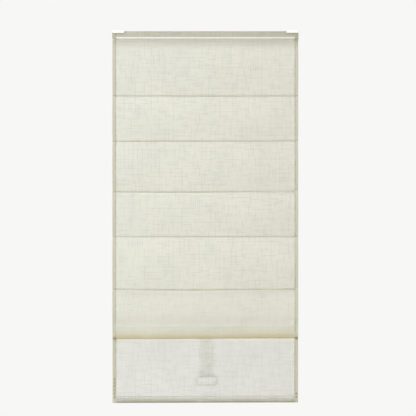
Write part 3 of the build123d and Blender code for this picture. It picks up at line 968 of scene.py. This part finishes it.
class BLIND_OT_skirt(bpy.types.Operator):
    """Sew the skirt: bar pocket, hanging panel, side hems and weighted hem"""

    bl_idname = "blind.skirt"
    bl_label = "Skirt"

    # Sizes in metres, waves in radians a metre
    lap = 0.0007
    weight_room = 0.0006
    corner_radius = 0.0011
    row_step = 0.009
    ripple = 0.0009
    broad_wave = 8.0
    close_wave = 19.0
    hem_behind = 0.0011
    hem_short = 0.002
    hem_row_step = 0.012

    def shades(self, cloth, hang_from, hem_turn):
        """Painted light and shade down the skirt: a painted glint under the fold, a darker line at the hem's
        top, a band over the weight that is partly painted shade, painted shade at the hem's bottom edge, and
        its pale inside.
        """
        dark = colour(cloth, "weight_and_shade_tint")
        # Painted light: a pale glint just under the fold
        glint = Stripe((0.0, 0.001), colour(cloth, "glint"), 0.85, fade=(0.008, 0.014))
        # At the hem: a darker line at its top, a dark band over the weight that is partly painted shade,
        # painted shade on its bottom edge, then its pale inside
        at_hem = [
            Stripe((-0.032, -0.029), dark, 0.28, fade=(-0.0255, -0.0235)),
            Stripe((-0.015, -0.0125), dark, 0.66, fade=(0.0, 0.002), cover=0.5),
            Stripe((-0.008, -0.003), dark, 1.0, fade=(0.0, 0.002)),
            Stripe((0.001, 0.003), colour(cloth, "strap_and_pale_tint"), 1.0, cover=-0.25),
        ]
        return [glint.moved(hang_from)] + [stripe.moved(hem_turn) for stripe in at_hem]

    def execute(self, context):
        cloth = context.scene.blind_cloth
        front = skirt_low.y + SKIRT_SKIN
        back = skirt_high.y - SKIRT_SKIN
        pocket_top = skirt_high.z - SKIRT_SKIN
        pocket_low = fold_height + SKIRT_SKIN
        hem_low = skirt_bottom + SKIRT_SKIN
        hem_top = skirt_bottom + cloth.hem_height - SKIRT_SKIN
        hem_back = hem_bar_back + self.weight_room
        corners = [
            (front + self.lap, pocket_low),
            (back, pocket_low),
            (back, pocket_top),
            (front, pocket_top),
            (front, hem_low),
            (hem_back, hem_low),
            (hem_back, hem_top),
            (front + self.lap, hem_top),
        ]
        route = filled(rounded(corners, self.corner_radius), self.row_step)
        hang = np.clip((fold_height - route[:, 1]) / skirt_drop, 0, 1)

        def sway(x, row):
            share = hang[row]
            slack = 4 * share * (1 - share)
            broad = np.sin(self.broad_wave * x + 0.7)
            close = np.sin(self.close_wave * x + 2.0 * share)
            return -self.ripple * slack * (broad + 0.5 * close), skirt_tilt(x, share)

        hem_turn = lengths(route)[np.argmin(np.abs(route - (front, hem_low)).sum(axis=1))]
        shades = self.shades(cloth, hem_turn - (fold_height - hem_low), hem_turn)
        # The right hem is painted paler than the left, as painted light
        hems = SideHems(half_width - cloth.side_hem, left=1.0, right=0.78)
        fabric = slub_cloth("skirt_slub", cloth, colour(cloth, "skirt_tint"), cloth.sheer, hems, shades)
        skirt = lay_sheet("skirt_sheet", columns_across(cloth, half_width), route, cloth.thickness, sway)
        dress(skirt, fabric, "lower_bar")
        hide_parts("skirt")
        turned = bpy.data.materials["turned_slub"]
        hem_ends = [(front, fold_height - self.hem_short), (front, hem_top + self.hem_short)]
        run = filled(hem_ends, self.hem_row_step)
        drop = (fold_height - run[:, 1]) / skirt_drop

        def follow(x, row):
            share = drop[row]
            return self.hem_behind + 0 * share, skirt_tilt(x, share)

        for end, side in SIDES.items():
            across = hem_across(cloth, side)
            hem = lay_sheet(f"skirt_hem_{end}", across, run, HEM_LAYERS * cloth.thickness, follow)
            dress(hem, turned, "lower_bar")
        return {"FINISHED"}


class BLIND_OT_fascia(bpy.types.Operator):
    """Wrap the rail's face in cloth"""

    bl_idname = "blind.fascia"
    bl_label = "Fascia"

    # Sizes in metres, and the share of light that the cloth stops
    depth_skin = 0.0002
    height_skin = 0.0001
    thickness = 0.0003
    corner_radius = 0.0003
    row_step = 0.004
    cover = 0.9

    def execute(self, context):
        cloth = context.scene.blind_cloth
        front = fascia_low.y + self.depth_skin
        back = fascia_high.y - self.depth_skin
        top = fascia_high.z - self.height_skin
        low = fascia_low.z + self.height_skin
        corners = [(back, top), (front, top), (front, low), (back, low)]
        route = filled(rounded(corners, self.corner_radius), self.row_step)
        fabric = slub_cloth("fascia_slub", cloth, colour(cloth, "fascia_tint"), self.cover)
        half = (fascia_high.x - fascia_low.x) / 2
        across = columns_across(cloth, half, fine_edges=False)
        strip = lay_sheet("fascia_sheet", across, route, self.thickness)
        dress(strip, fabric, "headrail")
        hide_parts("fascia_cloth")
        return {"FINISHED"}


class BLIND_OT_pull(bpy.types.Operator):
    """Loop the pull strap through its handle"""

    bl_idname = "blind.pull"
    bl_label = "Pull strap"

    # Sizes in metres, and the share of light that the cloth stops
    skin = 0.0004
    loop_points = 25
    row_step = 0.008
    columns = 17
    cover = 0.17

    def execute(self, context):
        cloth = context.scene.blind_cloth
        middle = (strap_low.y + strap_high.y) / 2
        radius = (strap_high.y - strap_low.y) / 2 - self.skin
        axis = (middle, strap_low.z + radius + self.skin)
        top = strap_high.z - self.skin
        lean = math.degrees(math.asin(self.skin / radius))
        loop = arc(axis, (radius, radius), 90 + lean, 450 - lean, self.loop_points)
        route = filled([(middle - self.skin, top), *loop, (middle + self.skin, top)], self.row_step)
        length = lengths(route)[-1]
        # Painted shade where the strap loops round the handle, with a little more cover
        at_loop = Stripe((-0.04, -0.02), colour(cloth, "fold_shade_tint"), 0.45, fade=(0.02, 0.04), cover=0.15)
        shades = [at_loop.moved(length / 2)]
        fabric = slub_cloth("strap_slub", cloth, colour(cloth, "strap_and_pale_tint"), self.cover, stripes=shades)
        across = np.linspace(strap_low.x, strap_high.x, self.columns)
        strap = lay_sheet("strap_sheet", across, route, cloth.thickness)
        dress(strap, fabric, "lower_bar")
        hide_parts("pull_strap")
        return {"FINISHED"}


# Sides of a stitch, and how far its ends step in and stand out, in thread radii
STITCH_SIDES = 6
END_INSET = 0.45
END_DOME = 0.5
# From strand to strand in a bundle, in thread radii
STRAND_PITCH = 2.4


def stitch_row(name, sewing, start, direction, run):
    """Model one stitch, repeat it along a run and put the row in place."""
    deselect()
    bpy.ops.mesh.primitive_cylinder_add(
        vertices=STITCH_SIDES, radius=sewing.radius, depth=sewing.length, rotation=(0.0, math.pi / 2, 0.0)
    )
    stitch = bpy.context.object
    bpy.ops.object.transform_apply(location=True, rotation=True, scale=True)
    bpy.ops.object.mode_set(mode="EDIT")
    bpy.ops.mesh.select_all(action="DESELECT")
    bpy.ops.object.mode_set(mode="OBJECT")
    for face in stitch.data.polygons:
        face.select = abs(face.normal.x) > 0.9
    bpy.ops.object.mode_set(mode="EDIT")
    bpy.ops.mesh.inset(thickness=sewing.radius * END_INSET, depth=sewing.radius * END_DOME)
    bpy.ops.object.mode_set(mode="OBJECT")
    stitch.name = name
    stitch.data.name = name
    count = max(2, int(run / sewing.pitch))
    step = run / count
    finish_with(
        stitch,
        "ARRAY",
        count=count,
        use_relative_offset=False,
        use_constant_offset=True,
        constant_offset_displace=(step, 0.0, 0.0),
    )

    def put(spots):
        placed = spots.copy()
        if direction == "DOWN":
            placed[:, 0] = spots[:, 2]
            placed[:, 2] = -spots[:, 0] - step / 2
        else:
            placed[:, 0] = spots[:, 0] + step / 2
        return placed + np.array(start)

    move_points(stitch, put)
    choose(stitch)
    bpy.ops.object.shade_smooth_by_angle(angle=math.radians(40))
    return stitch


def bundle(name, sewing, start, run, strands, slope):
    """Lay short strands side by side, all at one slope."""
    x, y, z = start
    apart = STRAND_PITCH * sewing.radius
    rows = []
    for number in range(strands):
        rows.append(stitch_row("strand", sewing, (x, y, z + apart * number), "ALONG", run))
    piece = gather(rows, name)

    def lean(spots):
        spots[:, 2] += slope * (spots[:, 0] - x)
        return spots

    move_points(piece, lean)
    return piece


class BLIND_OT_sewing(bpy.types.Operator):
    """Sew the side hems, the bottom hem, the pocket, the strap and the tacks at the fold"""

    bl_idname = "blind.sewing"
    bl_label = "Stitching"

    # How far a thread stands out of the cloth, in thread radii
    thread_proud = 0.4
    # Side rows: from the hem's inner edge, and what they leave free at the top and the bottom, in metres
    seam_in = 0.0022
    face_ends = (0.008, 0.004)
    skirt_ends = (0.004, 0.002)
    # Tacks at the fold's ends
    tack_inset = 0.009
    tack_run = 0.01
    tack_forward = 0.0006
    tack_drop = 0.003
    tack_strands = 20
    tack_look = SolidLook(wear=(-0.18, -0.165, -0.09), roughness=0.7, grain=900.0)
    # Whip stitches at the lower corners: dark bundles thicker than one thread, partly painted shade where
    # the stitches pull the cloth
    whips = {"left": 6, "right": 2}
    whip_inset = 0.008
    whip_run = 0.008
    whip_rise = 0.02
    whip_pitch = 0.016
    whip_strands = 9
    whip_slope = 0.6
    # Rows across, in metres
    row_inset = 0.003
    hem_row_drop = 0.0016
    pocket_row_rise = 0.002
    strap_inset = 0.004
    strap_behind = 0.0008

    def sew_sides(self, cloth, sewing, thread, dark):
        """Rows down the side hems, tacks at the fold's ends and whip stitches at the lower corners."""
        form = FaceForm(cloth)
        order = np.argsort(form.points[:, 1])
        heights = form.points[order, 1]
        depths = form.points[order, 0]
        skin = cloth.thickness / 2 + sewing.radius * self.thread_proud

        def onto_face(spots):
            spots[:, 1] += np.interp(spots[:, 2], heights, depths) - skin
            return spots

        seam = half_width - cloth.side_hem + self.seam_in
        face_top = cloth_top - self.face_ends[0]
        face_run = lift_reach - sum(self.face_ends)
        skirt_depth = skirt_low.y + SKIRT_SKIN - skin
        skirt_top = fold_height - self.skirt_ends[0]
        skirt_run = skirt_drop - cloth.hem_height - sum(self.skirt_ends)
        tack_low = fold_height - cloth.fold_sag - self.tack_drop
        for end, side in SIDES.items():
            spot = (side * seam, 0.0, face_top)
            row = stitch_row(f"face_stitches_{end}", sewing, spot, "DOWN", face_run)
            move_points(row, onto_face)
            dress(row, thread, "headrail")
            flatten_with_lift(row)
            spot = (side * seam, skirt_depth, skirt_top)
            row = stitch_row(f"skirt_stitches_{end}", sewing, spot, "DOWN", skirt_run)
            dress(row, thread, "lower_bar")
            tack_from = side * (half_width - self.tack_inset) - self.tack_run / 2
            spot = (tack_from, form.front - self.tack_forward, tack_low)
            tack = bundle(f"fold_tack_{end}", sewing, spot, self.tack_run, self.tack_strands, slope=0.0)
            dress(tack, dark, "headrail")
            flatten_with_lift(tack)
            whip_from = side * (half_width - self.whip_inset) - self.whip_run / 2
            whips = []
            for number in range(self.whips[end]):
                level = skirt_bottom + self.whip_rise + self.whip_pitch * number
                spot = (whip_from, skirt_low.y - skin, level)
                whips.append(
                    bundle("whip", sewing, spot, self.whip_run, self.whip_strands, self.whip_slope)
                )
            whip = gather(whips, f"hem_whip_{end}")
            dress(whip, dark, "lower_bar")

    def sew_across(self, cloth, sewing, thread):
        """Rows along the bottom hem, the bar pocket and the strap."""
        proud = sewing.radius * self.thread_proud
        row_from = self.row_inset - half_width
        run = 2 * half_width - 2 * self.row_inset
        hem_depth = skirt_low.y + SKIRT_SKIN - cloth.thickness / 2 - proud
        spot = (row_from, hem_depth, skirt_bottom + cloth.hem_height - self.hem_row_drop)
        hem_row = stitch_row("hem_stitches", sewing, spot, "ALONG", run)

        def with_hem(spots):
            spots[:, 2] += skirt_tilt(spots[:, 0], 1.0)
            return spots

        move_points(hem_row, with_hem)
        dress(hem_row, thread, "lower_bar")
        spot = (row_from, skirt_high.y + proud, fold_height + self.pocket_row_rise)
        pocket_row = stitch_row("pocket_stitches", sewing, spot, "ALONG", run)
        dress(pocket_row, thread, "lower_bar")
        inset = self.strap_inset
        strap_depth = (strap_low.y + strap_high.y) / 2 + self.strap_behind
        strap_run = strap_high.x - strap_low.x - 2 * inset
        rows = []
        for height in (strap_high.z - inset, fold_height + inset):
            spot = (strap_low.x + inset, strap_depth, height)
            rows.append(stitch_row("strap_row", sewing, spot, "ALONG", strap_run))
        strap_row = gather(rows, "strap_stitches")
        dress(strap_row, thread, "lower_bar")

    def execute(self, context):
        cloth = context.scene.blind_cloth
        sewing = context.scene.blind_sewing
        thread = thread_finish("hem_thread", colour(sewing, "thread"))
        dark = solid_finish("tack_thread", colour(sewing, "tack"), self.tack_look)
        self.sew_sides(cloth, sewing, thread, dark)
        self.sew_across(cloth, sewing, thread)
        return {"FINISHED"}


class BLIND_OT_finishes(bpy.types.Operator):
    """Give the rail, the ribs, the bars, the lift gear and the pull their finishes"""

    bl_idname = "blind.finishes"
    bl_label = "Rail and gear finishes"

    looks = {
        "white_paint": SolidLook(wear=(0.04, 0.04, 0.04), roughness=0.38, grain=160.0),
        "cap_plastic": SolidLook(wear=(0.03, 0.03, 0.03), roughness=0.5, grain=(900.0, 300.0, 300.0)),
        "bracket_paint": SolidLook(wear=(0.04, 0.04, 0.04), roughness=0.36, grain=160.0),
        "white_plastic": SolidLook(wear=(0.06, 0.06, 0.07), roughness=0.42, grain=400.0),
        "zinc_steel": SolidLook(
            wear=(0.11, 0.11, 0.12), roughness=0.34, grain=(30.0, 700.0, 700.0), metallic=1.0
        ),
        "mill_aluminium": SolidLook(
            wear=(0.08, 0.08, 0.08), roughness=0.36, grain=(20.0, 900.0, 900.0), metallic=1.0
        ),
        "fibre_rod": SolidLook(wear=(0.08, 0.08, 0.10), roughness=0.45, grain=(25.0, 1200.0, 1200.0)),
    }
    slot_finishes = {
        "white_rail": "white_paint",
        "cap_plastic": "cap_plastic",
        "clear_plastic": "clear_plastic",
        "white_plastic": "white_plastic",
        "steel": "zinc_steel",
        "bar_aluminium": "mill_aluminium",
        "rod_fibre": "fibre_rod",
    }
    clear_cover = 0.5

    def execute(self, context):
        rail = context.scene.blind_rail
        finishes = {name: solid_finish(name, colour(rail, name), look) for name, look in self.looks.items()}
        finishes["clear_plastic"] = clear_finish(
            "clear_plastic", colour(rail, "clear_plastic"), colour(rail, "clear_edge"), self.clear_cover
        )
        slots = {}
        for name, piece in frame["nodes"].items():
            slots[name] = piece.data.materials[0].name if piece.data.materials else ""
        for name, piece in frame["nodes"].items():
            if piece.hide_render:
                continue
            key = self.slot_finishes.get(slots[name].split(".")[0], "white_plastic")
            if name.startswith("mounting_bracket"):
                key = "bracket_paint"
            piece.data.materials.clear()
            piece.data.materials.append(finishes[key])
        return {"FINISHED"}


def soft_lamp(name, place, aim, size, power, tint):
    """Hang a soft square lamp that points at aim."""
    deselect()
    bpy.ops.object.light_add(type="AREA", location=place)
    lamp = bpy.context.object
    lamp.name = name
    lamp.data.shape = "SQUARE"
    lamp.data.size = size
    lamp.data.energy = power
    lamp.data.color = tint
    lamp.rotation_euler = (Vector(aim) - Vector(place)).to_track_quat("-Z", "Y").to_euler()


class BLIND_OT_stage(bpy.types.Operator):
    """Set up the pale backdrop, the floor, the lamps and the camera"""

    bl_idname = "blind.stage"
    bl_label = "Studio"

    # Places and sizes in metres, flecks in waves a metre, the sensor in millimetres
    plane_size = 9.0
    paper_waves = 60.0
    floor_waves = 40.0
    upright = (math.pi / 2, 0.0, 0.0)
    key_place = (-3.4, -2.7, 1.0)
    key_size = 3.0
    fill_place = (2.8, -3.0, -0.8)
    fill_size = 2.4
    sky_place = (0.0, -1.0, 2.5)
    sky_direction = (0.2, 0.38, -1.0)
    sky_angle = math.radians(35)
    sensor_width = 36.0

    def paper(self, settings):
        """Pale paper that is plain to the eye and open from behind."""
        finish = Finish("pale_paper")
        tint = colour(settings, "paper")
        fleck = finish.noise(finish.place(), self.paper_waves)
        finish.set(Base_Color=finish.colours(fleck, tint, shaded(tint, 0.985)))
        finish.set(Roughness=0.9, Specular_IOR_Level=0.05)
        finish.set(Emission_Color=tint, Emission_Strength=settings.glow)
        glow = finish.node("ShaderNodeEmission", {}, {"Color": (*tint, 1.0), "Strength": 1.0})
        clear = finish.node("ShaderNodeBsdfTransparent")
        behind = finish.node("ShaderNodeNewGeometry", output="Backfacing")
        lit = Wire(finish, finish.surface.outputs[0])
        front = finish.node("ShaderNodeMixShader", {}, {0: finish.looked_at(), 1: lit, 2: glow})
        whole = finish.node("ShaderNodeMixShader", {}, {0: behind, 1: front, 2: clear})
        finish.plug(finish.tree.nodes["Material Output"].inputs["Surface"], whole)
        return finish.material

    def floor_paint(self, settings):
        """Matt paint that looks a little darker than the light it gives back."""
        finish = Finish("floor_paint")
        fleck = finish.noise(finish.place(), self.floor_waves)
        lit, seen = colour(settings, "floor_tint"), colour(settings, "floor_seen")
        tint = finish.colours(finish.looked_at(), lit, seen)
        finish.set(Base_Color=finish.colours(fleck * 0.05, tint, (0.0, 0.0, 0.0)))
        finish.set(Roughness=0.85, Specular_IOR_Level=0.1)
        return finish.material

    def flat_plane(self, name, material, location, rotation=(0.0, 0.0, 0.0)):
        """A large plane with its place in its mesh."""
        deselect()
        bpy.ops.mesh.primitive_plane_add(size=self.plane_size, location=location, rotation=rotation)
        plane = bpy.context.object
        plane.name = name
        bpy.ops.object.transform_apply(location=True, rotation=True, scale=True)
        plane.data.materials.append(material)
        return plane

    def light_room(self, settings, aim):
        """Two soft lamps in front and an even light from above."""
        key_tint, fill_tint = colour(settings, "key_tint"), colour(settings, "fill_tint")
        soft_lamp("key", self.key_place, aim, self.key_size, settings.key_power, key_tint)
        soft_lamp("fill", self.fill_place, aim, self.fill_size, settings.fill_power, fill_tint)
        deselect()
        bpy.ops.object.light_add(type="SUN", location=self.sky_place)
        sky = bpy.context.object
        sky.name = "sky"
        sky.data.energy = settings.sky_strength
        sky.data.angle = self.sky_angle
        sky.rotation_euler = Vector(self.sky_direction).to_track_quat("-Z", "Y").to_euler()

    def room(self, settings):
        """Pale light from all round, which the eye sees as the backdrop's colour."""
        world = bpy.data.worlds.new("studio_world")
        wiring = Wiring(world)
        pale = (*colour(settings, "paper"), 1.0)
        lit = wiring.node("ShaderNodeBackground", {}, {"Color": pale, "Strength": settings.world_strength})
        seen = wiring.node("ShaderNodeBackground", {}, {"Color": pale, "Strength": 1.0})
        mixed = wiring.node("ShaderNodeMixShader", {}, {0: wiring.looked_at(), 1: lit, 2: seen})
        wiring.plug(wiring.tree.nodes["World Output"].inputs["Surface"], mixed)
        return world

    def execute(self, context):
        scene = context.scene
        settings = scene.blind_stage
        scene.view_settings.view_transform = "Standard"
        middle_z = (cad_low.z + cad_high.z) / 2
        floor_z = cad_low.z - settings.floor_gap
        wall_place = (0.0, cad_high.y + settings.wall_gap, floor_z + self.plane_size / 2)
        wall = self.flat_plane("backdrop", self.paper(settings), wall_place, self.upright)
        wall.visible_shadow = False
        floor = self.flat_plane("floor", self.floor_paint(settings), (0.0, 0.0, floor_z))
        self.light_room(settings, aim=(0.0, 0.0, middle_z))
        scene.world = self.room(settings)
        front = cloth_low.y + scene.blind_cloth.bow
        eye = (settings.side_step, front - settings.distance, middle_z + settings.rise)
        deselect()
        bpy.ops.object.camera_add(location=eye, rotation=self.upright)
        camera = bpy.context.object
        camera.data.sensor_width = self.sensor_width
        camera.data.sensor_fit = "HORIZONTAL"
        camera.data.lens = self.sensor_width * settings.distance / settings.view_width
        scene.camera = camera
        return {"FINISHED"}


class BLIND_PT_pieces(bpy.types.Panel):
    """Buttons for each piece of the blind"""

    bl_idname = "BLIND_PT_pieces"
    bl_label = "Roman blind"
    bl_space_type = "VIEW_3D"
    bl_region_type = "UI"
    bl_category = "Blind"

    def draw(self, context):
        for operator in OPERATORS:
            self.layout.operator(operator.bl_idname)
        for group, kind in SETTINGS.items():
            for name in kind.__annotations__:
                self.layout.prop(getattr(context.scene, group), name)


SETTINGS = {
    "blind_cloth": ClothSettings,
    "blind_sewing": SewingSettings,
    "blind_rail": RailSettings,
    "blind_stage": StageSettings,
}
OPERATORS = (
    BLIND_OT_face,
    BLIND_OT_pockets,
    BLIND_OT_skirt,
    BLIND_OT_fascia,
    BLIND_OT_pull,
    BLIND_OT_sewing,
    BLIND_OT_finishes,
    BLIND_OT_stage,
)
CLASSES = (*SETTINGS.values(), *OPERATORS, BLIND_PT_pieces)


def register():
    for kind in CLASSES:
        bpy.utils.register_class(kind)
    for group, kind in SETTINGS.items():
        setattr(bpy.types.Scene, group, PointerProperty(type=kind))


def unregister():
    for group in SETTINGS:
        delattr(bpy.types.Scene, group)
    for kind in reversed(CLASSES):
        bpy.utils.unregister_class(kind)


def main():
    register()
    bpy.ops.blind.face()
    bpy.ops.blind.pockets()
    bpy.ops.blind.skirt()
    bpy.ops.blind.fascia()
    bpy.ops.blind.pull()
    bpy.ops.blind.sewing()
    bpy.ops.blind.finishes()
    bpy.ops.blind.stage()


if __name__ == "__main__":
    main()
